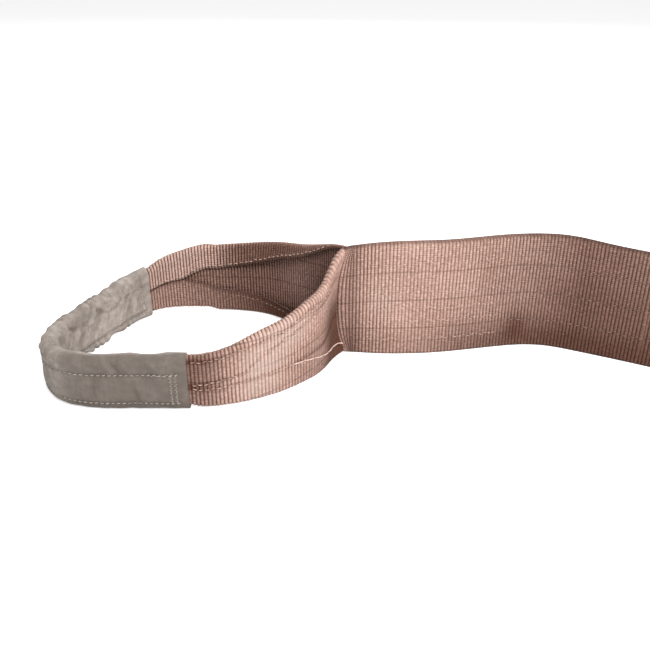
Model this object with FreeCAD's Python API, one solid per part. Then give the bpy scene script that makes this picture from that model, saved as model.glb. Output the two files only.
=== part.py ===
"""Two-ply flat webbing sling with a folded, sleeved eye at each end, standing on the webbing's edge.

The body's axis runs along +X and +Z is up across the webbing. The origin is on the floor at the
crotch of eye A, in the plane where its two plies part. Half B is half A turned half a turn about the
vertical line through the middle of the body. Sizes are in millimetres.
"""

import FreeCAD, Part
import math
import os

os.makedirs("parts", exist_ok=True)

Vector = FreeCAD.Vector

# Driving dimensions
WEB_WIDTH = 90.0
PLY = 3.0
EYE_WIDTH = 39.0
HINGE_GAP = 0.35
PLY_GAP = 0.15
SLEEVE_HEIGHT = 42.0
SLEEVE_WALL = 1.2
SLEEVE_HALF_DEPTH = 5.5
SLEEVE_FIT = 0.6
THREAD = 1.0
THREAD_SUNK = 0.3
THREAD_PROUD = 0.5
SPLICE_LENGTH = 112.0
SPLICE_ROWS = (0.15, 0.31, 0.43, 0.57, 0.82)
STITCH_PITCH = 8.0
SEAM_ROWS = (0.25, 0.50, 0.75)
LABEL_LENGTH = 70.0
LABEL_HEIGHT = 52.0
LABEL_THICKNESS = 0.8

# Plan of the body's middle surface from the crotch of eye A to the middle of the body
CROTCH = (0.0, 0.0)
MIDDLE = (215.0, -19.0)
BODY_PLAN = [CROTCH, (16, -2), (42, -3), (72, -1), (102, 5.5), (130, 10.5), (152, 9.5), (178, -1), MIDDLE]

# Plan of the eye's webbing, from the crotch along the near leg, round the nose and back on the far leg
EYE_PLAN = [
    CROTCH, (-6.5, -10), (-16.5, -28), (-31, -45), (-46.5, -58), (-63, -67), (-86, -74.5), (-110, -77),
    (-140, -76.5), (-168, -76), (-189, -70), (-202, -57), (-206, -38), (-201, -15),
    (-191, 10), (-180, 32), (-169, 50), (-156, 63), (-138, 69.5), (-112, 70), (-86, 68),
    (-62, 61), (-40, 44), (-19, 21), CROTCH,
]
SLEEVE_START = 138.0
SLEEVE_END = 370.0
LEG_START = 4.5
LEG_SLEEVE_GAP = 1.0

# Height of each leg's folded edge at these distances from the crotch
NEAR_LEG_HEIGHTS = ((0, 84), (14, 81), (24, 72), (42, 66.5), (60, 59.5), (87, 50), (116, 41), (136, 38.5))
FAR_LEG_HEIGHTS = ((0, 84), (28, 77), (51, 70), (74, 65), (110, 59), (143, 54.5), (172, 45), (190, 40))

# Height of the body's upper edge, which dips at the crotch and where the body bends
BODY_HEIGHTS = ((0, 84), (10, 86.5), (28, 89), (50, 90), (165, 90), (195, 87.5), (222, 86.5))


def smooth_curve(points):
    curve = Part.BSplineCurve()
    curve.interpolate([Vector(x, y, 0) for x, y in points])
    return curve


def mixed(table, s):
    """The value at distance s in a table of (distance, value) pairs, held level past its ends."""
    before = table[0]
    for after in table[1:]:
        if s <= after[0]:
            share = max(0.0, s - before[0]) / (after[0] - before[0])
            return before[1] + share * (after[1] - before[1])
        before = after
    return before[1]


def place(curve, s, offset, z):
    """The point at distance s along a plan curve, moved sideways to its left and up to height z."""
    u = curve.parameterAtDistance(s, curve.FirstParameter)
    point = curve.value(u)
    ahead = curve.tangent(u)[0]
    return Vector(point.x - offset * ahead.y, point.y + offset * ahead.x, z)


def stations(start, end, step):
    count = max(2, int(math.ceil(abs(end - start) / step)) + 1)
    return [start + (end - start) * i / (count - 1) for i in range(count)]


def lofted(curve, distances, outline, ruled=False):
    """A solid through upright sections; outline(s) lists each section's (sideways, height) corners."""
    wires = []
    for s in distances:
        corners = [place(curve, s, offset, z) for offset, z in outline(s)]
        wires.append(Part.makePolygon(corners + corners[:1]))
    return Part.makeLoft(wires, True, ruled)


def rectangle(low, high, bottom, top):
    return [(low, bottom), (high, bottom), (high, top), (low, top)]


def folded_section(s, height):
    """Webbing with both edges turned in: a full outer face and two flaps on the loop's inside."""
    flap = min(height / 2 - 0.3, max(1.0, (WEB_WIDTH - height) / 2))
    inner = -PLY * min(1.0, 0.1 + s / 22.0)
    corners = [(PLY, 0), (PLY, height), (inner, height), (inner, height - flap + 0.2)]
    corners += [(0, height - flap + 0.2), (0, flap - 0.2), (inner, flap - 0.2), (inner, 0)]
    return corners


def strip(curve, distances, face, outward, height):
    """A sewn thread row lying on a face: sunk a little into it and a little proud of it."""
    low = face - outward * THREAD_SUNK
    high = face + outward * THREAD_PROUD
    low, high = min(low, high), max(low, high)
    return lofted(
        curve, distances, lambda s: rectangle(low, high, height(s) - THREAD / 2, height(s) + THREAD / 2)
    )


def stitch(curve, start, end, face, outward):
    """One straight stitch between two (distance, height) ends on a face."""
    first = place(curve, start[0], face - outward * THREAD_SUNK, start[1])
    last = place(curve, end[0], face - outward * THREAD_SUNK, end[1])
    along = (last - first).normalize()
    out = (place(curve, start[0], face, 0) - place(curve, start[0], face - outward, 0)).normalize()
    side = along.cross(out).normalize() * (THREAD / 2)
    out = side.cross(along).normalize() * (THREAD_SUNK + THREAD_PROUD)
    ring = [first + side, last + side, last - side, first - side, first + side]
    return Part.Face(Part.makePolygon(ring)).extrude(out)


def zigzag(curve, start, end, low, high, face, outward):
    """A row of slanting stitches between two heights, each ending just short of the next."""
    count = int((end - start) / STITCH_PITCH)
    pitch = (end - start) / count
    stitches = []
    for i in range(count):
        a, b = (low, high) if i % 2 == 0 else (high, low)
        inset = 0.12
        first = (start + (i + inset) * pitch, a + (b - a) * inset)
        last = (start + (i + 1 - inset) * pitch, b + (a - b) * inset)
        stitches.append(stitch(curve, first, last, face, outward))
    return stitches


body_curve = smooth_curve(BODY_PLAN)
eye_curve = smooth_curve(EYE_PLAN)
body_half = body_curve.length()
eye_length = eye_curve.length()


def body_plies():
    """The two plies of half the body, from just clear of the crotch to just clear of the middle."""
    along = stations(PLY + HINGE_GAP, body_half - PLY - HINGE_GAP, 8)

    def ply(low, high):
        return lofted(body_curve, along, lambda s: rectangle(low, high, 0, mixed(BODY_HEIGHTS, s)), True)

    return ply(-PLY, -PLY_GAP / 2), ply(PLY_GAP / 2, PLY)


def splice_stitching():
    """Zigzag rows through both plies behind the crotch, seen on the front and on the back."""
    solids = []
    for face, outward in ((-PLY, -1), (PLY, 1)):
        for row in SPLICE_ROWS:
            middle = row * WEB_WIDTH
            solids += zigzag(body_curve, 14, SPLICE_LENGTH, middle - 1.5, middle + 1.5, face, outward)
    return Part.makeCompound(solids)


def lamination_seams():
    """Straight rows that join the two plies along the body beyond the splice."""
    along = stations(SPLICE_LENGTH + 4, body_half - 6, 16)
    solids = []
    for face, outward in ((-PLY, -1), (PLY, 1)):
        for row in SEAM_ROWS:
            solids.append(strip(body_curve, along, face, outward, lambda s: row * WEB_WIDTH))
    return Part.makeCompound(solids)


def crotch_tack():
    """The bar-tacked roll of webbing where the two plies part."""
    return Part.makeCylinder(PLY, BODY_HEIGHTS[0][1], Vector(CROTCH[0], CROTCH[1], 0))


def near_leg():
    along = stations(LEG_START, SLEEVE_START - LEG_SLEEVE_GAP, 11)
    return lofted(eye_curve, along, lambda s: folded_section(s, mixed(NEAR_LEG_HEIGHTS, s)), True)


def far_height(s):
    return mixed(FAR_LEG_HEIGHTS, eye_length - s)


def far_leg():
    along = stations(SLEEVE_END + LEG_SLEEVE_GAP, eye_length - LEG_START, 11)
    return lofted(eye_curve, along, lambda s: folded_section(eye_length - s, far_height(s)), True)


def leg_seams(start, end, height):
    """Three rows on the leg's outer face: along the top fold and along each flap's edge."""
    along = stations(start, end, 11)
    rows = (
        lambda s: height(s) - 5,
        lambda s: height(s) - (WEB_WIDTH - height(s)) / 2 + 3,
        lambda s: (WEB_WIDTH - height(s)) / 2 - 3,
    )
    return Part.makeCompound([strip(eye_curve, along, PLY, 1, row) for row in rows])


def near_leg_seams():
    return leg_seams(46, SLEEVE_START - 3, lambda s: mixed(NEAR_LEG_HEIGHTS, s))


def far_leg_seams():
    return leg_seams(SLEEVE_END + 3, eye_length - 46, far_height)


def nose_webbing():
    """The folded webbing inside the sleeve: the outer face with both flaps meeting behind it."""
    base = SLEEVE_WALL + SLEEVE_FIT / 2
    along = stations(SLEEVE_START, SLEEVE_END, 11)
    return lofted(eye_curve, along, lambda s: rectangle(-PLY, PLY, base, base + EYE_WIDTH - 1))


def tube_section(half_depth, bottom, top, bevel):
    return [
        (-half_depth + bevel, bottom), (half_depth - bevel, bottom), (half_depth, bottom + bevel),
        (half_depth, top - bevel), (half_depth - bevel, top), (-half_depth + bevel, top),
        (-half_depth, top - bevel), (-half_depth, bottom + bevel),
    ]


def sleeve():
    """The loose woven tube over the eye's nose."""
    along = stations(SLEEVE_START, SLEEVE_END, 11)
    longer = [SLEEVE_START - 0.5] + along[1:-1] + [SLEEVE_END + 0.5]
    hollow = SLEEVE_HALF_DEPTH - SLEEVE_WALL
    outer = lofted(eye_curve, along, lambda s: tube_section(SLEEVE_HALF_DEPTH, 0, SLEEVE_HEIGHT, 3))
    inner = lofted(
        eye_curve, longer, lambda s: tube_section(hollow, SLEEVE_WALL, SLEEVE_HEIGHT - SLEEVE_WALL, 0.8)
    )
    return outer.cut(inner)


def sleeve_seams():
    """Two rows along the sleeve's outer side."""
    along = stations(SLEEVE_START + 6, SLEEVE_END - 6, 11)
    face = SLEEVE_HALF_DEPTH
    rows = [strip(eye_curve, along, face, 1, lambda s: share * SLEEVE_HEIGHT) for share in (0.17, 0.71)]
    return Part.makeCompound(rows)


def sleeve_tacks():
    """Zigzag tacking beside each mouth of the sleeve, on its outer side."""
    length = 34
    face = SLEEVE_HALF_DEPTH
    solids = []
    for start in (SLEEVE_START + 4, SLEEVE_END - 4 - length):
        solids += zigzag(eye_curve, start, start + length, 12, 27, face, 1)
    return Part.makeCompound(solids)


def half_sling():
    front, back = body_plies()
    return {
        "front_ply": front,
        "back_ply": back,
        "splice_stitching": splice_stitching(),
        "lamination_seams": lamination_seams(),
        "crotch_tack": crotch_tack(),
        "near_leg": near_leg(),
        "near_leg_seams": near_leg_seams(),
        "far_leg": far_leg(),
        "far_leg_seams": far_leg_seams(),
        "nose_webbing": nose_webbing(),
        "sleeve": sleeve(),
        "sleeve_seams": sleeve_seams(),
        "sleeve_tacks": sleeve_tacks(),
    }


def middle_bend():
    """The short stretch of both plies that rolls when the body bends at its middle."""
    return Part.makeCylinder(PLY, BODY_HEIGHTS[-1][1], Vector(MIDDLE[0], MIDDLE[1], 0))


def label_span():
    start = SPLICE_LENGTH + 16
    return stations(start, start + LABEL_LENGTH, 14)


def label():
    """A blank identification label on the front ply of half B, which faces away from half A's front."""
    bottom = (WEB_WIDTH - LABEL_HEIGHT) / 2
    face = -PLY - THREAD_PROUD
    section = rectangle(face - LABEL_THICKNESS, face, bottom, bottom + LABEL_HEIGHT)
    return lofted(body_curve, label_span(), lambda s: section)


def label_stitching():
    face = -PLY - THREAD_PROUD - LABEL_THICKNESS
    bottom = (WEB_WIDTH - LABEL_HEIGHT) / 2 + 3
    rows = (bottom, bottom + LABEL_HEIGHT - 6)
    inner = label_span()[1:-1]
    return Part.makeCompound([strip(body_curve, inner, face, -1, lambda s: z) for z in rows])


def turned(shape):
    """The same shape at the sling's other end."""
    copy = shape.copy()
    copy.rotate(Vector(MIDDLE[0], MIDDLE[1], 0), Vector(0, 0, 1), 180)
    return copy


def write(name, shape):
    print(name, "valid", shape.isValid(), "solids", len(shape.Solids), "volume", round(shape.Volume))
    shape.exportStep("parts/" + name + ".step")


for name, shape in half_sling().items():
    write(name + "_a", shape)
    write(name + "_b", turned(shape))

write("middle_bend", middle_bend())
write("identification_label", turned(label()))
write("label_stitching", turned(label_stitching()))
print("body", round(2 * body_half, 1), "eye loop", round(eye_length, 1))
print("working length", round(2 * body_half + eye_length, 1))
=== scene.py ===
import math

import bpy
import numpy as np
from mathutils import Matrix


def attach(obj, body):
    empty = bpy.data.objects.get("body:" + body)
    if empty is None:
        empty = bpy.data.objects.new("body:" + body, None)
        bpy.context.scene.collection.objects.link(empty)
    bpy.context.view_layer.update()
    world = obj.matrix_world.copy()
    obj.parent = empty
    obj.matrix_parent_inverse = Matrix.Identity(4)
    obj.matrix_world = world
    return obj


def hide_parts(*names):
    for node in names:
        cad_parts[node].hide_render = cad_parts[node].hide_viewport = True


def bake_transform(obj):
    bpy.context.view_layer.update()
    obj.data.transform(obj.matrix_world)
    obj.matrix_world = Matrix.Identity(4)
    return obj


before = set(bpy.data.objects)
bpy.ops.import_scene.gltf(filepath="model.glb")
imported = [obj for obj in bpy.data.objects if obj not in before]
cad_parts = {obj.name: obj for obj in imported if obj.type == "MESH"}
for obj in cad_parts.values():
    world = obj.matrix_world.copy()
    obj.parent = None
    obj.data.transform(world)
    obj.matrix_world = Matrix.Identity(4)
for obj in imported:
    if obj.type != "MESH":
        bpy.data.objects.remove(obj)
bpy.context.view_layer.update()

# Sizes in metres. The plan points are the part's own: the webbing's middle surface seen from above.
MM = 0.001
WEB_WIDTH = 90 * MM
PLY = 3 * MM
RIB_PITCH = 2.57 * MM
RIB_DEPTH = 0.75 * MM
STEPS_PER_RIB = 8
FOLD_RADIUS = 1.9 * MM
SLEEVE_CLOTH = 0.9 * MM
MIDDLE = np.array([0.215, -0.019])

BODY_PLAN = np.array([
    (0, 0), (16, -2), (42, -3), (72, -1), (102, 5.5), (130, 10.5), (152, 9.5), (178, -1), (215, -19),
]) * MM
EYE_PLAN = np.array([
    (0, 0), (-6.5, -10), (-16.5, -28), (-31, -45), (-46.5, -58), (-63, -67), (-86, -74.5), (-110, -77),
    (-140, -76.5), (-168, -76), (-189, -70), (-202, -57), (-206, -38), (-201, -15),
    (-191, 10), (-180, 32), (-169, 50), (-156, 63), (-138, 69.5), (-112, 70), (-86, 68),
    (-62, 61), (-40, 44), (-19, 21), (0, 0),
]) * MM
BODY_HEIGHTS = np.array([
    (-9, 83), (0, 84), (10, 86.5), (28, 89), (50, 90), (165, 90), (195, 87.5), (225, 86.5),
]) * MM
NEAR_HEIGHTS = np.array([
    (0, 82.5), (7, 83.5), (14, 78), (20, 71), (26, 65.5), (33, 62.5), (42, 61.5), (52, 60), (60, 57),
    (66, 55), (76.5, 53), (87, 50.5), (102, 45.5), (116, 41), (129, 39.5), (141, 35), (152, 31), (260, 31),
]) * MM
FAR_HEIGHTS = np.array([
    (0, 84), (12, 82), (28, 77), (51, 70), (74, 65), (93, 61.5), (110, 59), (126, 57.5),
    (143, 54.5), (159, 49.5), (172, 45), (180, 41.5), (189, 35), (200, 31), (300, 31),
]) * MM
SLEEVE_HEIGHTS = np.array([
    (138, 41.5), (147, 40.5), (160, 40), (210, 40), (250, 38.5), (320, 38), (350, 40.5), (370, 43),
]) * MM
SLEEVE_START = 138 * MM
SLEEVE_END = 370 * MM
SLEEVE_ROUND = 104 * MM
SLEEVE_TALL = 40 * MM
SLEEVE_CAP = 5.2 * MM
SLEEVE_DEPTH = 5.9 * MM
NOSE_TIP = 256 * MM

# Sewing: rows as shares of the webbing's width, then distances along and from its edge
SPLICE_ROWS = (0.82, 0.57, 0.43, 0.31, 0.15)
TRACER_ROWS = (0.25, 0.5, 0.75)
SPLICE_END = 114 * MM
FLAP_EDGE = 2.4 * MM


# Curves ---------------------------------------------------------------------------------------------

class Plan:
    """A smooth plan curve through points, read by distance along it."""

    def __init__(self, points):
        knots = np.concatenate([[0], np.cumsum(np.linalg.norm(np.diff(points, axis=0), axis=1))])
        bends = self.natural_bends(knots, points)
        fine = np.linspace(0, knots[-1], 4000)
        span = np.clip(np.searchsorted(knots, fine, side="right") - 1, 0, len(knots) - 2)
        width = (knots[1:] - knots[:-1])[span][:, None]
        before = (knots[span + 1] - fine)[:, None]
        after = (fine - knots[span])[:, None]
        self.points = (
            (bends[span] * before**3 + bends[span + 1] * after**3) / (6 * width)
            + (points[span] / width - bends[span] * width / 6) * before
            + (points[span + 1] / width - bends[span + 1] * width / 6) * after
        )
        steps = np.linalg.norm(np.diff(self.points, axis=0), axis=1)
        self.along = np.concatenate([[0], np.cumsum(steps)])
        self.length = self.along[-1]
        self.ahead = np.gradient(self.points, self.along, axis=0)

    @staticmethod
    def natural_bends(knots, points):
        count = len(knots)
        gaps = np.diff(knots)
        matrix = np.eye(count)
        right = np.zeros((count, 2))
        for i in range(1, count - 1):
            matrix[i, i - 1 : i + 2] = gaps[i - 1], 2 * (gaps[i - 1] + gaps[i]), gaps[i]
            slopes = (points[i + 1] - points[i]) / gaps[i] - (points[i] - points[i - 1]) / gaps[i - 1]
            right[i] = 6 * slopes
        return np.linalg.solve(matrix, right)

    def at(self, s):
        """(x, y) at distance s and the unit normal to its left; straight on past either end."""
        held = np.clip(s, 0, self.length)
        x, y = (np.interp(held, self.along, self.points[:, i]) for i in (0, 1))
        ax, ay = (np.interp(held, self.along, self.ahead[:, i]) for i in (0, 1))
        size = np.hypot(ax, ay)
        ax, ay = ax / size, ay / size
        past = s - held
        return x + past * ax, y + past * ay, -ay, ax


body_plan = Plan(BODY_PLAN)
eye_plan = Plan(EYE_PLAN)
HALF = body_plan.length
LOOP = eye_plan.length


def smooth(t):
    t = np.clip(t, 0, 1)
    return t * t * (3 - 2 * t)


def hump(t):
    return np.exp(-t * t)


def wander(a, b, seed, scale):
    """Gentle repeatable unevenness between about -1 and 1, from a few sine waves."""
    rng = np.random.default_rng(seed)
    total = 0
    for _ in range(6):
        fa, fb = rng.uniform(-1, 1, 2) * 2 * math.pi / scale
        total = total + np.sin(fa * a + fb * b + rng.uniform(0, 2 * math.pi))
    return total / 3.2


def turned(points):
    """Half A's points moved to half B: half a turn about the vertical through the body's middle."""
    out = np.array(points, float)
    out[..., 0] = 2 * MIDDLE[0] - out[..., 0]
    out[..., 1] = 2 * MIDDLE[1] - out[..., 1]
    return out


# Surfaces -------------------------------------------------------------------------------------------

def read(table, s):
    """A table's value at s, with its corners rounded off."""
    return sum(np.interp(s + shift * MM, table[:, 0], table[:, 1]) for shift in (-8, -4, 0, 4, 8)) / 5


def body_side(side):
    """The middle surface of one ply over the whole body; side is -1 for the front and 1 for the back."""

    def surface(s, w):
        mirrored = s > HALF
        near = np.where(mirrored, 2 * HALF - s, s)
        middle = np.clip(1 - ((w - WEB_WIDTH / 2) / (WEB_WIDTH / 2)) ** 2, 0, 1) ** 0.55
        near = np.where(near < 6 * MM, 6 * MM + (near - 6 * MM) * (0.12 + 0.88 * middle), near)
        x, y, nx, ny = body_plan.at(near)
        local = np.where(mirrored, -side, side)
        offset = local * (PLY / 2 + 0.15 * MM)
        offset = offset + local * middle * hump((near + 3.5 * MM) / (9 * MM)) * 3.0 * MM
        offset = offset + 0.5 * MM * wander(near, w, 5, 70 * MM) * smooth(near / (30 * MM))
        curl = middle * np.clip((-1 * MM - near) / (12 * MM), 0, 1) ** 2
        offset = offset - local * curl * 9.0 * MM
        x = x + nx * offset + middle * curl * 4.0 * MM
        y = y + ny * offset
        x = np.where(mirrored, 2 * MIDDLE[0] - x, x)
        y = np.where(mirrored, 2 * MIDDLE[1] - y, y)
        z = w / WEB_WIDTH * read(BODY_HEIGHTS, near)
        z = z + 0.35 * MM * wander(near, 0 * w, 8, 60 * MM) * (w / WEB_WIDTH)
        return np.stack([x, y, z + 0 * s], axis=-1)

    return surface


def face_share(height):
    """Half the flat face's width that makes webbing with rolled edges stand this high."""
    halves = np.linspace(15 * MM, 45 * MM, 400)
    turn = np.minimum((WEB_WIDTH / 2 - halves) / FOLD_RADIUS, math.pi / 2)
    heights = 2 * (halves + FOLD_RADIUS * np.sin(turn))
    return np.interp(height, heights, halves)


def folded_leg(near):
    """The middle surface of an eye's leg and its half of the nose; s runs from the crotch."""
    table = NEAR_HEIGHTS if near else FAR_HEIGHTS

    def surface(s, w):
        held = np.maximum(s, 0)
        height = read(table, held)
        height = height + 0.5 * MM * wander(s, 0 * w, 11 if near else 12, 50 * MM) * smooth(s / (20 * MM))
        half = face_share(height)
        top = height / 2
        from_middle = w - WEB_WIDTH / 2
        reach = np.abs(from_middle)
        sign = np.sign(from_middle)
        rolled = np.clip(reach - half, 0, math.pi * FOLD_RADIUS)
        angle = rolled / FOLD_RADIUS
        flap = np.maximum(reach - half - math.pi * FOLD_RADIUS, 0)
        longest = np.maximum(WEB_WIDTH / 2 - half - math.pi * FOLD_RADIUS, 0.01 * MM)
        stretch = np.minimum(1.35, (half - 0.4 * MM) / longest)
        flap = flap * np.maximum(stretch, 0.2)
        z = top + sign * (np.minimum(reach, half) + FOLD_RADIUS * np.sin(angle) - flap)
        z = z + 1.7 * MM * (1 - z / height)
        offset = PLY / 2 - FOLD_RADIUS * (1 - np.cos(angle))
        loose = smooth(flap / (15 * MM)) * smooth((150 * MM - held) / (90 * MM)) * smooth(held / (25 * MM))
        offset = offset - loose * (1.6 if near else 3.2) * MM
        offset = offset + 0.35 * MM * wander(s, w, 21 if near else 22, 45 * MM) * smooth(s / (25 * MM))
        middle = np.clip(1 - (from_middle / (WEB_WIDTH / 2)) ** 2, 0, 1)
        hollow = middle * (1 - smooth((held - 4 * MM) / ((44 if near else 26) * MM)))
        offset = offset - hollow * (7.0 if near else 2.0) * MM
        x, y, nx, ny = eye_plan.at(s if near else LOOP - s)
        lift = 2.4 * MM * smooth((s - SLEEVE_START + 10 * MM) / (12 * MM))
        return np.stack([x + nx * offset, y + ny * offset, z + lift], axis=-1)

    return surface


# Folds in the sleeve's inner side: distance along, height, half length, half width, lean, depth
SLEEVE_FOLDS = np.array([
    (327, 29, 7, 3.0, 0.3, 3.4), (318, 22, 10, 1.7, 1.2, 2.0), (310, 17, 9, 1.5, 0.8, 1.8),
    (301, 25, 11, 1.9, 0.9, 2.4), (293, 17, 10, 1.6, 1.3, 1.9), (284, 23, 12, 2.0, 1.0, 2.3),
    (275, 16, 11, 1.6, 1.5, 1.9), (267, 24, 12, 1.8, 1.1, 2.1), (258, 18, 12, 2.0, 1.4, 1.9),
    (336, 18, 10, 1.5, 1.2, 1.7), (345, 23, 8, 1.4, 1.0, 1.5), (352, 17, 7, 1.3, 1.3, 1.2),
    (247, 22, 12, 1.8, 1.3, 1.8), (236, 18, 12, 2.0, 1.6, 1.5), (222, 22, 11, 1.8, 1.2, 1.2),
    (314, 28, 7, 1.5, -0.6, -1.6), (296, 21, 8, 1.5, 0.4, -1.4), (280, 29, 8, 1.6, -0.4, -1.5),
])
OUTER_FOLDS = np.array([
    (178, 34, 7, 1.5, 1.0, 0.8), (184, 33, 7, 1.4, 1.0, -0.7), (190, 34, 7, 1.5, 1.1, 0.8),
    (160, 35, 6, 1.6, 0.7, 0.7), (206, 34, 8, 1.7, 0.5, 0.7), (200, 16, 9, 2.0, 1.4, -0.5),
    (222, 30, 9, 2.0, 0.3, 0.8), (236, 33, 9, 2.0, -0.2, -0.7), (246, 12, 9, 2.0, 1.2, 0.7),
    (172, 12, 8, 2.0, 1.3, -0.5), (280, 25, 12, 2.4, 0.6, 1.0), (310, 18, 12, 2.4, 0.8, -0.9),
    (335, 26, 10, 2.0, 1.0, 0.8), (262, 30, 10, 2.2, 0.1, 0.9),
])

# Shares of the way round the sleeve that each flat side and each rounded cap takes
FACE_SHARE = 0.32
CAP_SHARE = 0.5 - FACE_SHARE


def sleeve_relief(s, above, facing, height):
    """How far the sleeve's cloth stands out from its plain tube: folds, gathers and sewn grooves."""
    mouth = 1 - smooth(np.minimum(s - SLEEVE_START, SLEEVE_END - s) / (14 * MM))
    inner = smooth(0.3 - 1.5 * facing)
    bulge = wander(s * 1.3, above * 1.1, 31, 34 * MM) * 0.5 * MM * (0.5 + inner)
    bulge = bulge + wander(s * 2.0, above, 33, 18 * MM) * 0.25 * MM
    for folds, share in ((SLEEVE_FOLDS, inner), (OUTER_FOLDS, 1 - inner)):
        for at, high, long, wide, lean, deep in folds * np.array([MM, MM, MM, MM, 1, MM]):
            ds, dz = s - at, above - high
            along = ds * math.cos(lean) + dz * math.sin(lean)
            beside = dz * math.cos(lean) - ds * math.sin(lean)
            bulge = bulge + deep * hump(along / long) * hump(beside / wide) * share
    hem = 1 - smooth((above - 6.0 * MM) / (2 * MM))
    gathers = np.sin(s / (2.7 * MM) + 2.5 * wander(s, above, 37, 30 * MM)) ** 2
    nose = smooth((s - 215 * MM) / (25 * MM)) * smooth((352 * MM - s) / (12 * MM))
    bulge = bulge + (0.9 - 1.7 * gathers) * MM * hem * inner * nose
    rim = smooth((above - height + 7 * MM) / (3 * MM))
    bulge = bulge + (0.5 - 1.0 * gathers) * MM * rim * nose
    sewn = ((0.69, 1 - inner, 0.8), (0.15, 1 - inner, 0.8), (0.18, inner, 1.5), (0.69, inner, 0.6))
    stitches = 1 + 0.35 * np.sin(s / (3.4 * MM) * 2 * math.pi)
    for share, side, deep in sewn:
        line = above - share * height
        bulge = bulge - deep * MM * side * hump(line / (1.4 * MM)) * stitches
    return np.maximum(bulge * (1 - 0.6 * mouth), -1.3 * MM)


def sleeve_section(s, turn):
    """The plain tube round its webbing: sideways place, height, and which way its cloth faces."""
    height = read(SLEEVE_HEIGHTS, s)
    mouth = 1 - smooth(np.minimum(s - SLEEVE_START, SLEEVE_END - s) / (14 * MM))
    straight = height / 2 - SLEEVE_CAP
    turn = turn % 1.0
    top = np.clip((turn - FACE_SHARE) / CAP_SHARE, 0, 1) * math.pi
    bottom = np.clip((turn - 0.5 - FACE_SHARE) / CAP_SHARE, 0, 1) * math.pi
    rising = np.clip(turn / FACE_SHARE, 0, 1)
    falling = np.clip((turn - 0.5) / FACE_SHARE, 0, 1)
    facing = np.where(turn < 0.5, np.cos(top), -np.cos(bottom))
    up_facing = np.where(turn < 0.5, np.sin(top), -np.sin(bottom))
    up = straight * (2 * rising - 1 - 2 * falling) + SLEEVE_CAP * up_facing
    inner = smooth(0.3 - 1.5 * facing)
    across = facing * (SLEEVE_DEPTH - 0.7 * MM * mouth + 0.8 * MM * inner * (1 - mouth))
    return across, up + height / 2, facing, up_facing, height


def sleeve_surface(s, turn):
    """The sleeve's outer surface: turn runs 0 to 1 round the tube, up its outer side first."""
    across, above, facing, up_facing, height = sleeve_section(s, turn)
    bulge = sleeve_relief(s, above, facing, height)
    across = across + bulge * facing
    rise = 0.5 * MM * wander(s, 0 * s, 35, 30 * MM) * np.clip(up_facing, 0, 1)
    low = np.maximum(above + bulge * up_facing + rise, 0.15 * MM)
    x, y, nx, ny = eye_plan.at(s)
    return np.stack([x + nx * across, y + ny * across, low], axis=-1)


def on_sleeve(s, w):
    return sleeve_surface(s, w / SLEEVE_ROUND)


def sleeve_row(share, inner):
    """Where round the sleeve a line at this share of its height lies, as a distance."""
    flat = SLEEVE_TALL - 2 * SLEEVE_CAP
    rise = np.clip(0.5 + (share - 0.5) * SLEEVE_TALL / flat, 0, 1) * FACE_SHARE
    return float(0.5 + FACE_SHARE - rise if inner else rise) * SLEEVE_ROUND


# Meshes ---------------------------------------------------------------------------------------------

def normals_of(grid):
    """Unit normals over a grid of points."""
    along = np.gradient(grid, axis=0)
    across = np.gradient(grid, axis=1)
    out = np.cross(along, across)
    return out / np.maximum(np.linalg.norm(out, axis=-1, keepdims=True), 1e-12)


def ribs(s):
    """0 in the grooves between cross ribs and 1 on their crests."""
    return np.abs(np.sin(math.pi * s / RIB_PITCH)) ** 0.6


def make_mesh(name, points, faces, cloth=None, shade=None):
    mesh = bpy.data.meshes.new(name)
    mesh.from_pydata(points.reshape(-1, 3).tolist(), [], faces.tolist())
    if cloth is not None:
        layer = mesh.attributes.new("cloth", "FLOAT_VECTOR", "POINT")
        layer.data.foreach_set("vector", cloth.reshape(-1, 3).astype(np.float32).ravel())
    if shade is not None:
        layer = mesh.attributes.new("shade", "FLOAT", "POINT")
        layer.data.foreach_set("value", shade.astype(np.float32).ravel())
    mesh.polygons.foreach_set("use_smooth", np.ones(len(mesh.polygons), bool))
    mesh.update()
    obj = bpy.data.objects.new(name, mesh)
    bpy.context.scene.collection.objects.link(obj)
    return obj


def ring_faces(rows, columns):
    """Quads over a grid whose columns close on themselves; its two ends stay open."""
    index = np.arange(rows * columns).reshape(rows, columns)
    right = np.roll(index, -1, axis=1)
    return np.stack([index[:-1], right[:-1], right[1:], index[1:]], axis=-1).reshape(-1, 4)


def band_faces(rows, across):
    """The faces of a closed band whose rows each run up one skin and back down the other."""
    caps = []
    for row, flip in ((0, False), (rows - 1, True)):
        base = row * 2 * across
        for j in range(across - 1):
            quad = [base + j, base + j + 1, base + 2 * across - 2 - j, base + 2 * across - 1 - j]
            caps.append(quad[::-1] if flip else quad)
    return np.concatenate([ring_faces(rows, 2 * across), np.array(caps)])


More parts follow.
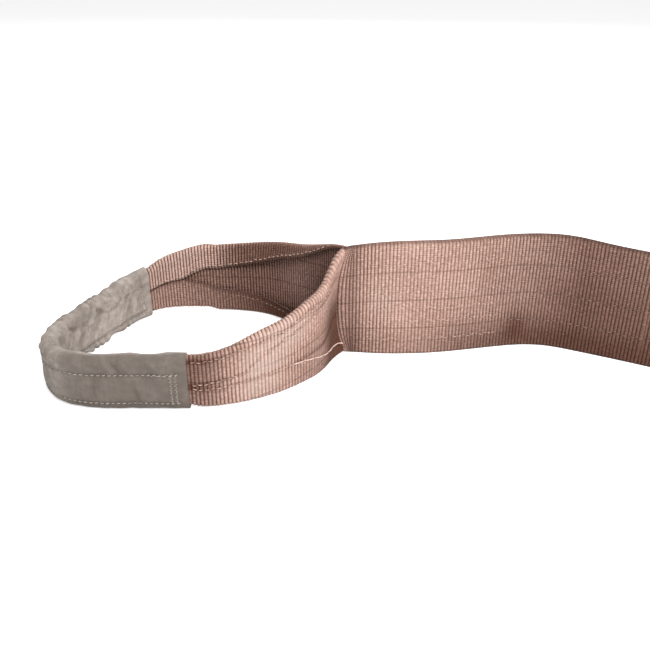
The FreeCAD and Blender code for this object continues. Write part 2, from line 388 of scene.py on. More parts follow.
def thick_web(name, surface, start, end, shading, across=44, side_b=False):
    """A closed band of ribbed webbing about a middle surface; shading gives its painted shade and rib
    flatness.
    """
    count = int(round((end - start) / RIB_PITCH * STEPS_PER_RIB)) + 1
    s = np.linspace(start, end, count)[:, None]
    w = (0.5 - 0.5 * np.cos(np.linspace(0.0, math.pi, across))) * 0.25 + np.linspace(0, 1, across) * 0.75
    w = (w * WEB_WIDTH)[None, :]
    grid_s, grid_w = np.broadcast_to(s, (count, across)), np.broadcast_to(w, (count, across))
    middle = surface(grid_s, grid_w)
    out = normals_of(middle)
    edge = np.minimum(grid_w, WEB_WIDTH - grid_w)
    rounding = np.sqrt(np.clip(1 - (1 - np.clip(edge / (1.2 * MM), 0, 1)) ** 2, 0.02, 1))
    # Painted shade for each skin, kept in the shade attribute, and how flat each skin's ribs are.
    painted_shade_up, flat_up = shading(grid_s, grid_w, 1)
    painted_shade_low, flat_low = shading(grid_s, grid_w, -1)
    relief = RIB_DEPTH * (ribs(grid_s) - 0.78)
    half_up = (PLY / 2 + relief * (1 - flat_up)) * rounding
    half_low = (PLY / 2 + relief * (1 - flat_low)) * rounding
    if side_b:
        middle, out = turned(middle), out * np.array([-1, -1, 1])
    upper, lower = middle + out * half_up[..., None], middle - out * half_low[..., None]
    section = np.concatenate([upper, lower[:, ::-1]], axis=1)
    cloth_up = np.stack([grid_s, grid_w, flat_up + 0 * grid_s], axis=-1)
    cloth_low = np.stack([grid_s, grid_w, flat_low + 0 * grid_s], axis=-1)
    cloth = np.concatenate([cloth_up, cloth_low[:, ::-1]], axis=1)
    shade = np.concatenate([painted_shade_up + 0 * grid_s, (painted_shade_low + 0 * grid_s)[:, ::-1]], axis=1)
    return make_mesh(name, section, band_faces(count, across), cloth, shade)


def sleeve_shading(s, turn):
    """The sleeve's painted shade: on the outer side of its near stretch, its underside and in its folds, less
    on its ridges, and painted light far inside, where it is lighter.
    """
    _, above, facing, up_facing, height = sleeve_section(s, turn)
    relief = sleeve_relief(s, above, facing, height)
    wear_and_shade = smooth(facing * 2 + 0.6) * (0.66 - 0.6 * smooth((s - 212 * MM) / (20 * MM)))
    wear_and_shade = wear_and_shade + 0.25 * smooth(-up_facing * 2) + 0.45 * smooth(-relief / (1.5 * MM))
    wear_and_shade = wear_and_shade - 0.15 * smooth(relief / (2 * MM))
    pale = smooth((s - 285 * MM) / (40 * MM)) * smooth(0.3 - 1.5 * facing)
    return np.clip(wear_and_shade + (1 - wear_and_shade) * 0.3 * (1 - pale), 0, 0.9)


def sleeve_part(name, start, end, side_b=False):
    """A stretch of the sleeve: an outer and an inner skin joined at both ends."""
    count, round_count = int((end - start) / (0.7 * MM)), 132
    s = np.linspace(start, end, count)[:, None]
    turn = np.linspace(0, 1, round_count, endpoint=False)[None, :]
    grid_s = np.broadcast_to(s, (count, round_count))
    grid_t = np.broadcast_to(turn, (count, round_count))
    outer = sleeve_surface(grid_s, grid_t)
    closed = np.concatenate([outer[:, -1:], outer, outer[:, :1]], axis=1)
    out = normals_of(closed)[:, 1:-1]
    centre = outer.mean(axis=1, keepdims=True)
    if np.mean(np.sum(out * (outer - centre), axis=-1)) < 0:
        out = -out
    inner = outer - out * SLEEVE_CLOTH
    if side_b:
        outer, inner = turned(outer), turned(inner)
    points = np.concatenate([outer, inner[::-1]], axis=0)
    quads = ring_faces(2 * count, round_count)
    last = np.arange(round_count) + (2 * count - 1) * round_count
    first = np.arange(round_count)
    join = np.stack([last, np.roll(last, -1), np.roll(first, -1), first], axis=-1)
    cloth_out = np.stack([grid_s, grid_t * SLEEVE_ROUND, np.ones_like(grid_s)], axis=-1)
    cloth = np.concatenate([cloth_out, cloth_out[::-1] * np.array([1, 1, -1])], axis=0)
    # Painted shade for the sleeve, kept in the shade attribute of both skins.
    wear_and_shade = sleeve_shading(grid_s, grid_t)
    shade = np.concatenate([wear_and_shade, wear_and_shade[::-1]], axis=0)
    return make_mesh(name, points, np.concatenate([quads, join]), cloth, shade)


def line_between(points, amplitude=0.0, pitch=8 * MM):
    """A sewing line through (along, across) points, swinging a little either side of it."""
    points = np.array(points, float)
    along = np.concatenate([[0], np.cumsum(np.linalg.norm(np.diff(points, axis=0), axis=1))])
    t = np.linspace(0, along[-1], max(2, int(along[-1] / (1 * MM))))
    s, w = (np.interp(t, along, points[:, i]) for i in (0, 1))
    swing = np.abs((t / pitch) % 1 - 0.5) * 4 - 1
    return np.stack([s, w + amplitude * swing], axis=1)


def thread_row(surface, path, flip, lift=PLY / 2, length=4.2 * MM, radius=0.42 * MM, gap=0.2):
    """Stitches along a path on a surface's flip side, lift away from it, dipping in at both ends."""
    steps = np.linalg.norm(np.diff(path, axis=0), axis=1)
    along = np.concatenate([[0], np.cumsum(steps)])
    count = max(1, int(along[-1] / length))
    sides, rings = 6, 7
    arch = np.sin(np.linspace(0, math.pi, rings))
    points, faces = [], []
    rng = np.random.default_rng(count * 7 + len(path))
    for i in range(count):
        t = np.linspace(i + gap / 2, i + 1 - gap / 2, rings) * along[-1] / count
        s = np.interp(t, along, path[:, 0])
        w = np.interp(t, along, path[:, 1]) + rng.uniform(-0.15, 0.15) * MM
        step = 0.3 * MM
        here = surface(s, w)
        out = np.cross(surface(s + step, w) - here, surface(s, w + step) - here) * flip
        out = out / np.linalg.norm(out, axis=1, keepdims=True)
        line = here + out * (lift - 0.3 * MM + 0.6 * MM * arch**0.5)[:, None]
        forward = np.gradient(line, axis=0)
        forward = forward / np.linalg.norm(forward, axis=1, keepdims=True)
        side = np.cross(forward, out)
        fat = radius * (0.35 + 0.65 * arch**0.4)
        for k in range(sides):
            angle = 2 * math.pi * k / sides
            points.append(line + (out * math.sin(angle) + side * math.cos(angle)) * fat[:, None])
        base = i * sides * rings
        for k in range(sides):
            a, b = base + k * rings, base + ((k + 1) % sides) * rings
            faces += [[a + r, a + r + 1, b + r + 1, b + r] for r in range(rings - 1)]
    return np.concatenate(points), np.array(faces)


def threads(name, rows, side_b=False):
    """One piece from several thread rows."""
    points, faces, base = [], [], 0
    for row_points, row_faces in rows:
        points.append(row_points)
        faces.append(row_faces + base)
        base += len(row_points)
    points = np.concatenate(points)
    return make_mesh(name, turned(points) if side_b else points, np.concatenate(faces))


# Materials ------------------------------------------------------------------------------------------

class Nodes:
    """Short calls for building a node material."""

    def __init__(self, name):
        self.material = bpy.data.materials.new(name)
        self.material.use_nodes = True
        self.tree = self.material.node_tree
        self.shader = self.tree.nodes["Principled BSDF"]

    def add(self, kind, **settings):
        node = self.tree.nodes.new(kind)
        for key, value in settings.items():
            setattr(node, key, value)
        return node

    def join(self, out, into):
        self.tree.links.new(out, into)

    def put(self, value, socket):
        if isinstance(value, (int, float)):
            socket.default_value = value
        else:
            self.join(value, socket)

    def math(self, operation, a, b=0.0, c=0.0):
        node = self.add("ShaderNodeMath", operation=operation)
        for value, socket in zip((a, b, c), node.inputs):
            self.put(value, socket)
        return node.outputs[0]

    def noise(self, vector, scale, detail=3.0, roughness=0.55):
        node = self.add("ShaderNodeTexNoise")
        self.join(vector, node.inputs["Vector"])
        node.inputs["Scale"].default_value = scale
        node.inputs["Detail"].default_value = detail
        node.inputs["Roughness"].default_value = roughness
        return node.outputs["Fac"]

    def scaled(self, vector, scale):
        node = self.add("ShaderNodeMapping")
        self.join(vector, node.inputs["Vector"])
        node.inputs["Scale"].default_value = scale
        return node.outputs[0]

    def mix(self, share, a, b):
        node = self.add("ShaderNodeMix", data_type="RGBA")
        self.put(share, node.inputs[0])
        for value, socket in ((a, node.inputs[6]), (b, node.inputs[7])):
            if isinstance(value, tuple):
                socket.default_value = (*value, 1)
            else:
                self.join(value, socket)
        return node.outputs[2]

    def tint(self, a, b):
        node = self.add("ShaderNodeMix", data_type="RGBA", blend_type="MULTIPLY")
        node.inputs[0].default_value = 1.0
        self.join(a, node.inputs[6])
        self.join(b, node.inputs[7])
        return node.outputs[2]

    def range(self, value, low, high, to_low=0.0, to_high=1.0):
        node = self.add("ShaderNodeMapRange")
        self.join(value, node.inputs[0])
        for number, socket in zip((low, high, to_low, to_high), node.inputs[1:5]):
            socket.default_value = number
        return node.outputs[0]

    def bump(self, height, distance, strength=1.0, under=None):
        node = self.add("ShaderNodeBump")
        self.join(height, node.inputs["Height"])
        node.inputs["Distance"].default_value = distance
        node.inputs["Strength"].default_value = strength
        if under is not None:
            self.join(under, node.inputs["Normal"])
        return node.outputs[0]

    def cloth(self):
        """The cloth attribute: metres along and across as a vector and apart, and how flat its ribs are."""
        attribute = self.add("ShaderNodeAttribute", attribute_name="cloth")
        parts = self.add("ShaderNodeSeparateXYZ")
        self.join(attribute.outputs["Vector"], parts.inputs[0])
        return attribute.outputs["Vector"], parts.outputs[0], parts.outputs[1], parts.outputs[2]


def line_at(nodes, w, place, width):
    """1 on a thin line along the cloth at this distance across it, 0 away from it."""
    away = nodes.math("ABSOLUTE", nodes.math("SUBTRACT", w, place))
    return nodes.range(away, width * 0.55, width * 0.35)


def webbing_material(name, light, dark, groove, painted_shade_colour):
    """Ribbed webbing; its shade attribute is painted shade, darkening it towards the painted shade colour,
    and below 0 a painted highlight that pales it.
    """
    nodes = Nodes(name)
    _, s, w, flat = nodes.cloth()
    flatly = nodes.add("ShaderNodeCombineXYZ")
    nodes.join(s, flatly.inputs[0])
    nodes.join(w, flatly.inputs[1])
    vector = flatly.outputs[0]
    shade = nodes.add("ShaderNodeAttribute", attribute_name="shade").outputs["Fac"]
    wave = nodes.math("ABSOLUTE", nodes.math("SINE", nodes.math("MULTIPLY", s, math.pi / RIB_PITCH)))
    broad = nodes.noise(vector, 26.0, 4.0)
    patch = nodes.noise(vector, 90.0, 3.0)
    fine = nodes.noise(vector, 900.0, 2.0)
    yarn = nodes.noise(nodes.scaled(vector, (160, 1300, 1)), 1.0, 2.0)
    bead = nodes.noise(nodes.scaled(vector, (390, 520, 1)), 1.0, 1.0)
    warp = nodes.math("SINE", nodes.math("MULTIPLY", w, 2 * math.pi / (1.5 * MM)))
    pale = tuple(min(1, c * 1.35) for c in light)
    colour = nodes.mix(nodes.range(broad, 0.35, 0.65), dark, light)
    colour = nodes.mix(nodes.range(patch, 0.45, 0.7, 0.0, 0.35), colour, dark)
    colour = nodes.mix(nodes.range(yarn, 0.3, 0.75, 0.0, 0.5), colour, pale)
    colour = nodes.mix(nodes.range(bead, 0.5, 0.66, 0.0, 0.6), colour, pale)
    colour = nodes.mix(nodes.range(bead, 0.48, 0.36, 0.0, 0.45), colour, dark)
    # Painted shade in the grooves between the ribs, weaker where the ribs are flattened.
    deep = nodes.range(wave, 0.88, 0.22)
    uneven = nodes.range(patch, 0.3, 0.7, 0.92, 0.7)
    strength = nodes.math("MULTIPLY", uneven, nodes.range(flat, 0.0, 1.0, 1.0, 0.12))
    colour = nodes.mix(nodes.math("MULTIPLY", deep, strength), colour, groove)
    wear_and_shade = nodes.range(nodes.noise(vector, 45.0, 3.0), 0.3, 0.48)
    for share in TRACER_ROWS:
        line = nodes.math("MULTIPLY", line_at(nodes, w, WEB_WIDTH * share, 0.9 * MM), wear_and_shade)
        colour = nodes.mix(nodes.math("MULTIPLY", line, 0.5), colour, groove)
    for share in (0.13, 0.40, 0.63, 0.87):
        line = nodes.math("MULTIPLY", line_at(nodes, w, WEB_WIDTH * share, 0.7 * MM), wear_and_shade)
        colour = nodes.mix(nodes.math("MULTIPLY", line, 0.25), colour, groove)
    for low, high in ((0.0, 2.2 * MM), (WEB_WIDTH, WEB_WIDTH - 2.2 * MM)):
        colour = nodes.mix(nodes.range(w, high, low, 0.0, 0.75), colour, groove)
    # Painted highlight where the shade attribute is below 0, then painted shade towards the painted shade
    # colour where it is above 0.
    colour = nodes.mix(nodes.range(shade, 0.0, -1.0), colour, (0.72, 0.58, 0.515))
    colour = nodes.tint(colour, nodes.mix(nodes.range(shade, 0.0, 1.0), (1, 1, 1), painted_shade_colour))
    nodes.join(colour, nodes.shader.inputs["Base Color"])
    nodes.join(nodes.range(fine, 0.3, 0.7, 0.62, 0.82), nodes.shader.inputs["Roughness"])
    height = nodes.math("ADD", warp, nodes.math("MULTIPLY", yarn, 2.6))
    weave = nodes.bump(nodes.math("ADD", height, nodes.math("MULTIPLY", bead, 4.0)), 0.00016, 0.9)
    nodes.join(nodes.bump(fine, 0.00015, 0.6, weave), nodes.shader.inputs["Normal"])
    nodes.shader.inputs["Sheen Weight"].default_value = 0.05
    nodes.shader.inputs["Sheen Roughness"].default_value = 0.5
    nodes.shader.inputs["Specular IOR Level"].default_value = 0.22
    return nodes.material


def sleeve_material(name, light, dark, painted_shade_colour):
    nodes = Nodes(name)
    vector, s, w, _ = nodes.cloth()
    shade = nodes.add("ShaderNodeAttribute", attribute_name="shade").outputs["Fac"]
    broad = nodes.noise(vector, 35.0, 5.0, 0.6)
    fine = nodes.noise(vector, 1400.0, 2.0)
    streak = nodes.noise(nodes.scaled(vector, (420, 60, 1)), 1.0, 3.0)
    over = nodes.math("SINE", nodes.math("MULTIPLY", s, 2 * math.pi / (1.1 * MM)))
    under = nodes.math("SINE", nodes.math("MULTIPLY", w, 2 * math.pi / (1.1 * MM)))
    weave = nodes.math("MULTIPLY", over, under)
    colour = nodes.mix(nodes.range(broad, 0.35, 0.65), dark, light)
    colour = nodes.mix(nodes.range(streak, 0.35, 0.7, 0.0, 0.5), colour, tuple(c * 0.7 for c in dark))
    blotch = nodes.noise(vector, 190.0, 3.0)
    colour = nodes.mix(nodes.range(blotch, 0.5, 0.68, 0.0, 0.5), colour, tuple(c * 0.65 for c in dark))
    colour = nodes.mix(nodes.range(blotch, 0.48, 0.33, 0.0, 0.4), colour, tuple(c * 1.2 for c in light))
    colour = nodes.mix(nodes.range(weave, -1.0, 1.0, 0.0, 0.35), colour, tuple(c * 0.5 for c in dark))
    colour = nodes.mix(nodes.range(fine, 0.45, 0.75, 0.0, 0.4), colour, tuple(min(1, c * 1.5) for c in light))
    # Painted shade from the shade attribute, towards the painted shade colour.
    colour = nodes.mix(shade, colour, painted_shade_colour)
    nodes.join(colour, nodes.shader.inputs["Base Color"])
    nodes.join(nodes.range(fine, 0.3, 0.7, 0.7, 0.9), nodes.shader.inputs["Roughness"])
    soft = nodes.bump(nodes.noise(vector, 160.0, 3.0), 0.0009, 0.6)
    nodes.join(nodes.bump(weave, 0.00014, 0.8, soft), nodes.shader.inputs["Normal"])
    nodes.shader.inputs["Sheen Weight"].default_value = 0.08
    nodes.shader.inputs["Sheen Roughness"].default_value = 0.6
    nodes.shader.inputs["Specular IOR Level"].default_value = 0.25
    return nodes.material


def thread_material(name, light, dark):
    nodes = Nodes(name)
    place = nodes.add("ShaderNodeTexCoord").outputs["Object"]
    spots = nodes.noise(place, 420.0, 3.0)
    twist = nodes.noise(place, 2600.0, 2.0)
    colour = nodes.mix(nodes.range(spots, 0.35, 0.65), dark, light)
    nodes.join(colour, nodes.shader.inputs["Base Color"])
    nodes.join(nodes.range(twist, 0.3, 0.7, 0.45, 0.65), nodes.shader.inputs["Roughness"])
    nodes.join(nodes.bump(twist, 0.00015, 0.8), nodes.shader.inputs["Normal"])
    nodes.shader.inputs["Sheen Weight"].default_value = 0.2
    return nodes.material


def label_material(name, colour):
    nodes = Nodes(name)
    place = nodes.add("ShaderNodeTexCoord").outputs["Object"]
    grain = nodes.noise(place, 1500.0, 2.0)
    wear = nodes.noise(place, 60.0, 4.0)
    shade = nodes.mix(nodes.range(wear, 0.4, 0.7), colour, tuple(min(1, c * 1.5 + 0.03) for c in colour))
    nodes.join(shade, nodes.shader.inputs["Base Color"])
    nodes.join(nodes.range(grain, 0.3, 0.7, 0.45, 0.65), nodes.shader.inputs["Roughness"])
    nodes.join(nodes.bump(grain, 0.0001, 0.6), nodes.shader.inputs["Normal"])
    return nodes.material


# Each material's last colour is the colour its painted shade darkens towards.
WEB = webbing_material(
    "webbing", light=(0.6, 0.4, 0.338), dark=(0.43, 0.262, 0.205),
    groove=(0.125, 0.06, 0.043), painted_shade_colour=(0.185, 0.1, 0.062),
)
SLEEVE_WEAVE = sleeve_material(
    "sleeve_cloth", light=(0.57, 0.495, 0.44), dark=(0.305, 0.257, 0.22), painted_shade_colour=(0.105, 0.082, 0.066)
)
THREAD = thread_material("thread", (0.66, 0.46, 0.385), (0.4, 0.25, 0.2))
BODY_THREAD = thread_material("body_thread", (0.66, 0.47, 0.395), (0.26, 0.15, 0.115))
SEAM_THREAD = thread_material("seam_thread", (0.3, 0.175, 0.135), (0.17, 0.09, 0.066))
TIGHT_THREAD = thread_material("tight_thread", (0.86, 0.66, 0.57), (0.68, 0.48, 0.4))
SLEEVE_THREAD = thread_material("sleeve_thread", (0.48, 0.44, 0.385), (0.3, 0.27, 0.235))
LABEL = label_material("label", (0.05, 0.11, 0.27))


# Pieces ---------------------------------------------------------------------------------------------

MIDDLE_START = (MIDDLE[0] - 0.022, MIDDLE[1] + 0.0095, 0.045)
MIDDLE_END = (MIDDLE[0] + 0.022, MIDDLE[1] - 0.0095, 0.045)


def eye_point(s, flip=False, z=0.024):
    x, y, _, _ = eye_plan.at(np.array(s))
    point = np.array([float(x), float(y), z])
    return tuple(turned(point) if flip else point)


def place(piece, look, slot, nodes, bodies, start, end):
    """Dresses a piece, hides the nodes it stands for and bakes its placing into its mesh."""
    piece.data.materials.append(look)
    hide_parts(*nodes)
    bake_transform(piece)


def body_shading(s, w, side):
    """The body's painted shade, with a faint painted highlight near the crotch, and rib flatness, the same on
    both skins.
    """
    near = np.where(s > HALF, 2 * HALF - s, s)
    turning = np.clip((near - 42 * MM) / (134 * MM), 0, 1)
    crease = hump((near - 4 * MM) / (8 * MM)) * 0.46
    low = hump((w - 4 * MM) / (20 * MM)) * (0.27 + 1.0 * turning * (1 - turning))
    bend = turning**1.5 * (0.66 + 0.12 * hump((w - 40 * MM) / (25 * MM)))
    # A faint painted highlight on the body's face near the crotch.
    bend = bend - 0.13 * hump((near - 27 * MM) / (17 * MM)) * hump((w - 45 * MM) / (26 * MM))
    dent = 0.25 * hump((near - 129 * MM) / (9 * MM)) * hump((w - 20 * MM) / (12 * MM))
    flat = 0.25 * smooth((near - 26 * MM) / (20 * MM)) * (1 - 1.8 * turning)
    flat = flat - 0.45 * hump((near - 8 * MM) / (13 * MM))
    return np.clip(crease + low + bend + dent, -0.3, 1), flat


def near_row(points):
    """A sewn row on the near leg from (distance, share of the folded height) points."""
    path = []
    for s, share in points:
        half = face_share(read(NEAR_HEIGHTS, s * MM))
        path.append((s * MM, WEB_WIDTH / 2 + (2 * share - 1) * (half + 2 * MM)))
    return np.array(path)


NEAR_ROWS = (
    near_row([
        (22, 0.88), (32, 0.9), (45, 0.93), (60, 0.92), (77, 0.87), (106, 0.93), (115, 0.91), (136, 0.92),
    ]),
    near_row([(30, 0.86), (59, 0.79), (74, 0.76), (94, 0.61), (101, 0.5), (115, 0.49), (136, 0.43)]),
    near_row([(66, 0.345), (80, 0.35), (108, 0.355), (136, 0.35)]),
)


def leg_shading(near):
    """One leg's painted shade and rib flatness, by skin: painted shade inside the loop, in the crotch's
    hollow, beside the sleeve, along the sewn rows and the bottom edge near the crotch, with a painted
    highlight on the near leg's outer face.
    """
    inside = 1 if near else -1
    table = NEAR_HEIGHTS if near else FAR_HEIGHTS

    def shading(s, w, side):
        reach = np.abs(w - WEB_WIDTH / 2)
        flap = smooth((reach - face_share(read(table, s)) - 1 * MM) / (4 * MM))
        seen_inside = 1 - flap if side == inside else flap
        # Painted shade on the flaps, heaviest near the crotch; on the upper flap further along, painted shade
        # in the rib grooves and lighter crests.
        upper = 0.82 * (1 - smooth((s - 110 * MM) / (38 * MM))) - 0.14 * hump((s - 40 * MM) / (18 * MM))
        upper = upper + 0.95 * (0.68 - ribs(s)) * smooth((s - 84 * MM) / (50 * MM))
        lower = 1 - 0.72 * np.clip((s - 80 * MM) / (95 * MM), 0, 1)
        # Painted shade between the flaps, lifted by a painted patch of light part way along, with painted
        # shade in the rib grooves and lighter crests.
        between = 0.78 - 0.27 * hump((s - 52 * MM) / (20 * MM)) * smooth((w - 20 * MM) / (25 * MM))
        between = between + 0.3 * (0.7 - ribs(s)) - 0.12 * smooth((s - 100 * MM) / (40 * MM))
        flaps = np.where(w > WEB_WIDTH / 2, upper, lower)
        within = np.where(side == inside, between, flaps) * (0.6 if near else 1)
        hollow = (1 - smooth((s - 16 * MM) / (36 * MM))) * smooth((74 * MM - w) / (36 * MM))
        close = 1 - smooth((s - 26 * MM) / (44 * MM))
        beside = (0.56 + 0.16 * smooth((w - 25 * MM) / (30 * MM))) * smooth((s - 97 * MM) / (36 * MM))
        outside = 0.95 * hollow + beside if near else 0.1 + 0 * w
        dip = hump((s - 48 * MM) / (18 * MM)) * (0.4 + 0.6 * smooth((70 * MM - w) / (40 * MM)))
        outside = outside + 0.28 * near * dip
        # Painted highlight: ridges along which the near leg's outer face is paled.
        ridge = hump((s - 92 * MM) / (22 * MM)) * hump((w - 40 * MM) / (22 * MM))
        ridge = ridge + hump((s - 62 * MM) / (24 * MM)) * hump((w - 62 * MM) / (12 * MM))
        outside = outside - 0.4 * np.clip(ridge, 0, 1) * near
        # Painted shade along the near leg's sewn rows.
        for row in NEAR_ROWS:
            outside = outside + 0.4 * near * hump((w - np.interp(s, row[:, 0], row[:, 1])) / (1.5 * MM))
        outside = outside + 0.3 * hump(w / (18 * MM)) * (1 - smooth((s - 20 * MM) / (60 * MM)))
        flat = np.clip(hollow + 0.62 * close, 0, 1) if near else 0.3 * hollow
        shade = outside * (1 - seen_inside) + within * seen_inside
        return np.clip(shade, -0.7, 1.0), flat * (1 - seen_inside)

    return shading


def splice_rows(side, flip):
    surface = body_side(side)
    rows = []
    for share in SPLICE_ROWS:
        for start, end in ((16 * MM, SPLICE_END), (2 * HALF - SPLICE_END, 2 * HALF - 16 * MM)):
            path = line_between([(start, share * WEB_WIDTH), (end, share * WEB_WIDTH)], 0.9 * MM, 9 * MM)
            rows.append(thread_row(surface, path, flip, PLY / 2 + 0.08 * MM, 3.6 * MM, 0.36 * MM, 0.3))
    return rows


def seam_rows(side, flip):
    surface = body_side(side)
    rows = []
    start = SPLICE_END + 4 * MM
    for share in TRACER_ROWS:
        path = line_between([(start, share * WEB_WIDTH), (2 * HALF - start, share * WEB_WIDTH)])
        rows.append(thread_row(surface, path, flip, PLY / 2 - 0.02 * MM, 5.6 * MM, 0.3 * MM, 0.3))
    return rows


def body_pieces():
    """Two plies over the whole body and their sewing."""
    bodies = ("body_a", "body_b")
    for name, side, flip, nodes in (
        ("front", -1, 1, ("front_ply_a", "back_ply_b", "middle_bend")),
        ("back", 1, -1, ("back_ply_a", "front_ply_b")),
    ):
        web = thick_web(f"{name}_ply_web", body_side(side), -13 * MM, 2 * HALF + 13 * MM, body_shading)
        place(web, WEB, "webbing", nodes, bodies, MIDDLE_START, MIDDLE_END)
        rows = threads(f"{name}_splice_threads", splice_rows(side, flip))
        sewn = ("splice_stitching_a", "splice_stitching_b")
        place(rows, BODY_THREAD, "thread", sewn, bodies, MIDDLE_START, MIDDLE_END)
        rows = threads(f"{name}_seam_threads", seam_rows(side, flip))
        sewn = ("lamination_seams_a", "lamination_seams_b")
        place(rows, SEAM_THREAD, "thread", sewn, bodies, MIDDLE_START, MIDDLE_END)


def near_leg_rows():
    surface, lift = folded_leg(True), PLY / 2 + 0.15 * MM
    lines = [line_between(row, 0.35 * MM, 7 * MM) for row in NEAR_ROWS]
    return [thread_row(surface, line, -1, lift, 3.8 * MM, 0.38 * MM, 0.26) for line in lines]


def tight_row():
    """The thread pulled tight across the near leg's hollow, down to the crotch."""
    path = np.array([(1, 8), (12, 15), (22, 20), (34, 25.5), (45, 30), (56, 34), (66, 36.5)]) * MM
    return thread_row(folded_leg(True), line_between(path), -1, PLY / 2 + 0.4 * MM, 9 * MM, 0.5 * MM, -0.06)


def flap_path(edge):
    """A sewing line along one of the far leg's flaps, beside the webbing's edge."""
    return line_between([(14 * MM, edge), (184 * MM, edge)], 0.3 * MM, 7 * MM)


def far_leg_rows():
    """The upper flap's sewing, seen from inside the loop, and two rows along the middle of the face."""
    surface = folded_leg(False)
    path = flap_path(WEB_WIDTH - FLAP_EDGE)
    rows = [thread_row(surface, path, 1, PLY / 2 + 0.1 * MM, 4.6 * MM, 0.42 * MM, 0.42)]
    for shift in (-12 * MM, 12 * MM):
        path = line_between([(46 * MM, WEB_WIDTH / 2 + shift), (186 * MM, WEB_WIDTH / 2 + shift)], 0.3 * MM)
        rows.append(thread_row(surface, path, 1, PLY / 2 + 0.1 * MM, 4.0 * MM, 0.36 * MM, 0.28))
    return rows


def low_flap_row():
    """The lower flap's sewing, in darker thread."""
    path = flap_path(FLAP_EDGE)
    return thread_row(folded_leg(False), path, 1, PLY / 2 + 0.1 * MM, 4.6 * MM, 0.36 * MM, 0.42)


def sleeve_rows(near):
    """The sleeve's long rows on both sides and the box of zigzag tacking beside its mouth."""
    begin, finish = (SLEEVE_START + 5 * MM, NOSE_TIP) if near else (NOSE_TIP, SLEEVE_END - 5 * MM)
    if near:
        box = (SLEEVE_START + 9 * MM, SLEEVE_START + 25 * MM)
    else:
        box = (SLEEVE_END - 25 * MM, SLEEVE_END - 9 * MM)
    lift = 0.1 * MM
    rows = []
    for inner in (False, True):
        low, high = sleeve_row(0.15, inner), sleeve_row(0.69, inner)
        fade = 0.28 if inner else 0.32
        for w in (low, high):
            reach = (begin, finish)
            if inner and w == high:
                reach = (begin, begin + 50 * MM) if near else (finish - 48 * MM, finish - 4 * MM)
            path = line_between([(reach[0], w), (reach[1], w)], 0.25 * MM)
            rows.append(thread_row(on_sleeve, path, -1, lift, 3.6 * MM, fade * MM, 0.34))
        edge = box[0] if near else box[1]
        for across in (-1.6 * MM, 1.6 * MM):
            path = line_between([(edge + across, low), (edge + across, high)])
            sway = np.abs((np.arange(len(path)) / 3) % 1 - 0.5) * 4 - 1
            path[:, 0] = path[:, 0] + sway * 1.0 * MM
            rows.append(thread_row(on_sleeve, path, -1, lift, 2.2 * MM, 0.3 * MM, 0.2))
        path = line_between([(box[0], high), (box[1], high)], 1.3 * MM, 4 * MM)
        rows.append(thread_row(on_sleeve, path, -1, lift, 2.0 * MM, 0.3 * MM, 0.2))
    return rows


def eye_pieces(half):
    """One eye's two legs, sleeve and sewing."""
    flip = half == "b"
    tip = eye_point(NOSE_TIP, flip)
    for leg, near, reach, mouth in (
        ("near_leg", True, NOSE_TIP, SLEEVE_START),
        ("far_leg", False, LOOP - NOSE_TIP, SLEEVE_END),
    ):
        bodies, start = (f"{leg}_{half}", f"eye_{half}"), eye_point(mouth, flip)
        surface, shading = folded_leg(near), leg_shading(near)
        web = thick_web(f"{leg}_web_{half}", surface, -1 * MM, reach, shading, across=64, side_b=flip)
        place(web, WEB, "webbing", (f"{leg}_{half}", f"nose_webbing_{half}"), bodies, start, tip)
        rows = threads(f"{leg}_threads_{half}", near_leg_rows() if near else far_leg_rows(), flip)
        place(rows, BODY_THREAD if near else THREAD, "thread", (f"{leg}_seams_{half}",), bodies, start, tip)
        if near:
            name, row, look = "tight_thread", tight_row(), TIGHT_THREAD
        else:
            name, row, look = "low_flap_threads", low_flap_row(), SEAM_THREAD
        single = threads(f"{name}_{half}", [row], flip)
        place(single, look, "thread", (f"{leg}_seams_{half}",), bodies, start, tip)
        span = (SLEEVE_START, NOSE_TIP) if near else (NOSE_TIP, SLEEVE_END)
        cloth = sleeve_part(f"sleeve_{leg}_{half}", *span, flip)
        place(cloth, SLEEVE_WEAVE, "sleeve_cloth", (f"sleeve_{half}",), bodies, start, tip)
        rows = threads(f"sleeve_{leg}_threads_{half}", sleeve_rows(near), flip)
        sewn = (f"sleeve_seams_{half}", f"sleeve_tacks_{half}")
        place(rows, SLEEVE_THREAD, "sleeve_thread", sewn, bodies, start, tip)


def crotch_roll(half):
    """The rolled webbing where the plies part, tacked at its top and bottom."""
    rows, columns = 60, 24
    z = np.linspace(0.4 * MM, 83 * MM, rows)[:, None]
    angle = np.linspace(0, 2 * math.pi, columns, endpoint=False)[None, :]
    radius = (2.5 + 0.2 * np.sin(z / (6 * MM)) + 0.3 * np.abs(np.sin(3 * angle))) * MM
    points = np.stack([radius * np.cos(angle), radius * np.sin(angle), z + 0 * angle], axis=-1)
    around = angle * 2.8 * MM + 0 * z
    cloth = np.stack([around, z + 0 * angle, np.ones_like(around)], axis=-1)
    if half == "b":
        points = turned(points)
    # A fixed painted shade over the whole roll, which sits in the crotch.
    roll = make_mesh(f"crotch_roll_{half}", points, ring_faces(rows, columns), cloth, 0.3 + 0 * around)
    roll.data.materials.append(WEB)
    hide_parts(f"crotch_tack_{half}")
    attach(roll, f"eye_{half}")


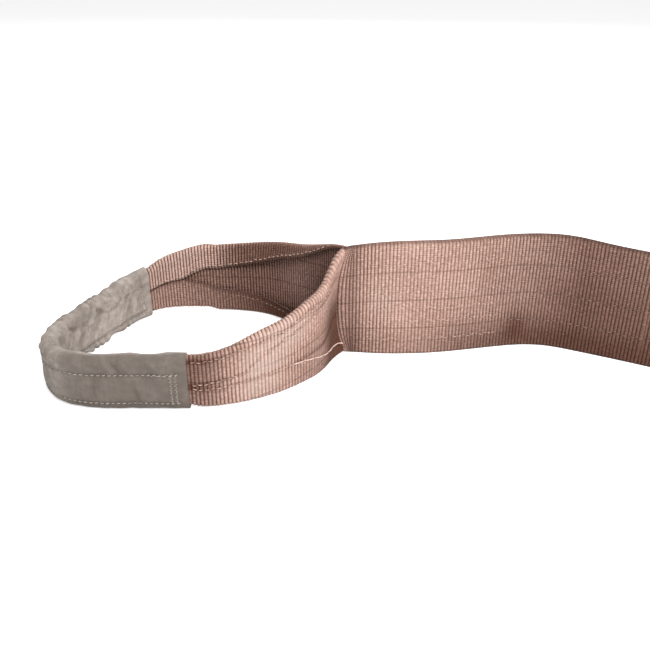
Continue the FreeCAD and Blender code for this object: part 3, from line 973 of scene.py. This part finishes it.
def label_piece():
    """The blank label, sewn round its edge to the back of the body's far half."""
    surface = body_side(1)
    start, end = 2 * HALF - 198 * MM, 2 * HALF - 128 * MM
    low, high = 19 * MM, 71 * MM
    steps, across = 60, 40
    s, w = np.linspace(start, end, steps), np.linspace(low, high, across)
    grid_s, grid_w = np.meshgrid(s, w, indexing="ij")
    middle = surface(grid_s, grid_w)
    out = -normals_of(middle)
    edge = np.minimum(np.minimum(grid_s - start, end - grid_s), np.minimum(grid_w - low, high - grid_w))
    soft = 0.25 * MM * wander(grid_s, grid_w, 51, 22 * MM) + 0.35 * MM * smooth(edge / (4 * MM))
    base = PLY / 2 + 0.1 * MM
    face = middle + out * (base + 0.75 * MM + soft)[..., None]
    back = middle + out * (base + 0 * grid_s)[..., None]
    section = np.concatenate([face, back[:, ::-1]], axis=1)
    label = make_mesh("label_cloth", section, band_faces(steps, across))
    place(label, LABEL, "label", ("identification_label",), ("body_a", "body_b"), MIDDLE_START, MIDDLE_END)
    inset = 3 * MM
    corners = [
        (start + inset, low + inset), (end - inset, low + inset), (end - inset, high - inset),
        (start + inset, high - inset), (start + inset, low + inset),
    ]
    row = thread_row(surface, line_between(corners), -1, base + 1.15 * MM, 3.4 * MM, 0.3 * MM, 0.3)
    rows = threads("label_threads", [row])
    place(rows, SLEEVE_THREAD, "thread", ("label_stitching",), ("body_a", "body_b"), MIDDLE_START, MIDDLE_END)


body_pieces()
for half in "ab":
    eye_pieces(half)
    crotch_roll(half)
label_piece()


# Studio ---------------------------------------------------------------------------------------------

def studio():
    floor_mesh = bpy.data.meshes.new("floor")
    size = 40.0
    corners = [(-size, -size, 0), (size, -size, 0), (size, size, 0), (-size, size, 0)]
    floor_mesh.from_pydata(corners, [], [(0, 1, 2, 3)])
    floor = bpy.data.objects.new("floor", floor_mesh)
    bpy.context.scene.collection.objects.link(floor)
    nodes = Nodes("floor")
    nodes.shader.inputs["Base Color"].default_value = (0.9, 0.9, 0.9, 1)
    nodes.shader.inputs["Roughness"].default_value = 0.9
    nodes.shader.inputs["Emission Color"].default_value = (1, 1, 1, 1)
    seen = nodes.add("ShaderNodeLightPath").outputs["Is Camera Ray"]
    nodes.join(nodes.math("MULTIPLY", seen, 0.55), nodes.shader.inputs["Emission Strength"])
    floor_mesh.materials.append(nodes.material)

    world = bpy.data.worlds.new("studio")
    bpy.context.scene.world = world
    world.use_nodes = True
    world.node_tree.nodes["Background"].inputs["Color"].default_value = (1, 1, 1, 1)
    world.node_tree.nodes["Background"].inputs["Strength"].default_value = 0.36

    for name, place, size, power in (
        ("key", (0.55, -1.0, 1.2), 0.4, 26.0),
        ("fill", (-0.9, -0.5, 0.9), 0.8, 2.5),
        ("back", (0.1, 1.3, 1.0), 0.8, 15.0),
    ):
        light = bpy.data.lights.new(name, "AREA")
        light.size = size
        light.energy = power
        obj = bpy.data.objects.new(name, light)
        obj.location = place
        aim = np.array([-0.03, 0.0, 0.03]) - np.array(place)
        pitch = math.atan2(math.hypot(aim[0], aim[1]), -aim[2])
        obj.rotation_euler = (pitch, 0, math.atan2(aim[1], aim[0]) - math.pi / 2)
        bpy.context.scene.collection.objects.link(obj)


def camera():
    data = bpy.data.cameras.new("camera")
    data.sensor_width = 36.0
    data.lens = 43.4
    data.clip_start = 0.01
    obj = bpy.data.objects.new("camera", data)
    obj.location = (-0.0152, -0.518, 0.297)
    obj.rotation_euler = (math.radians(90 - 28), 0, 0)
    bpy.context.scene.collection.objects.link(obj)
    bpy.context.scene.camera = obj


studio()
camera()
bpy.context.scene.view_settings.view_transform = "Standard"
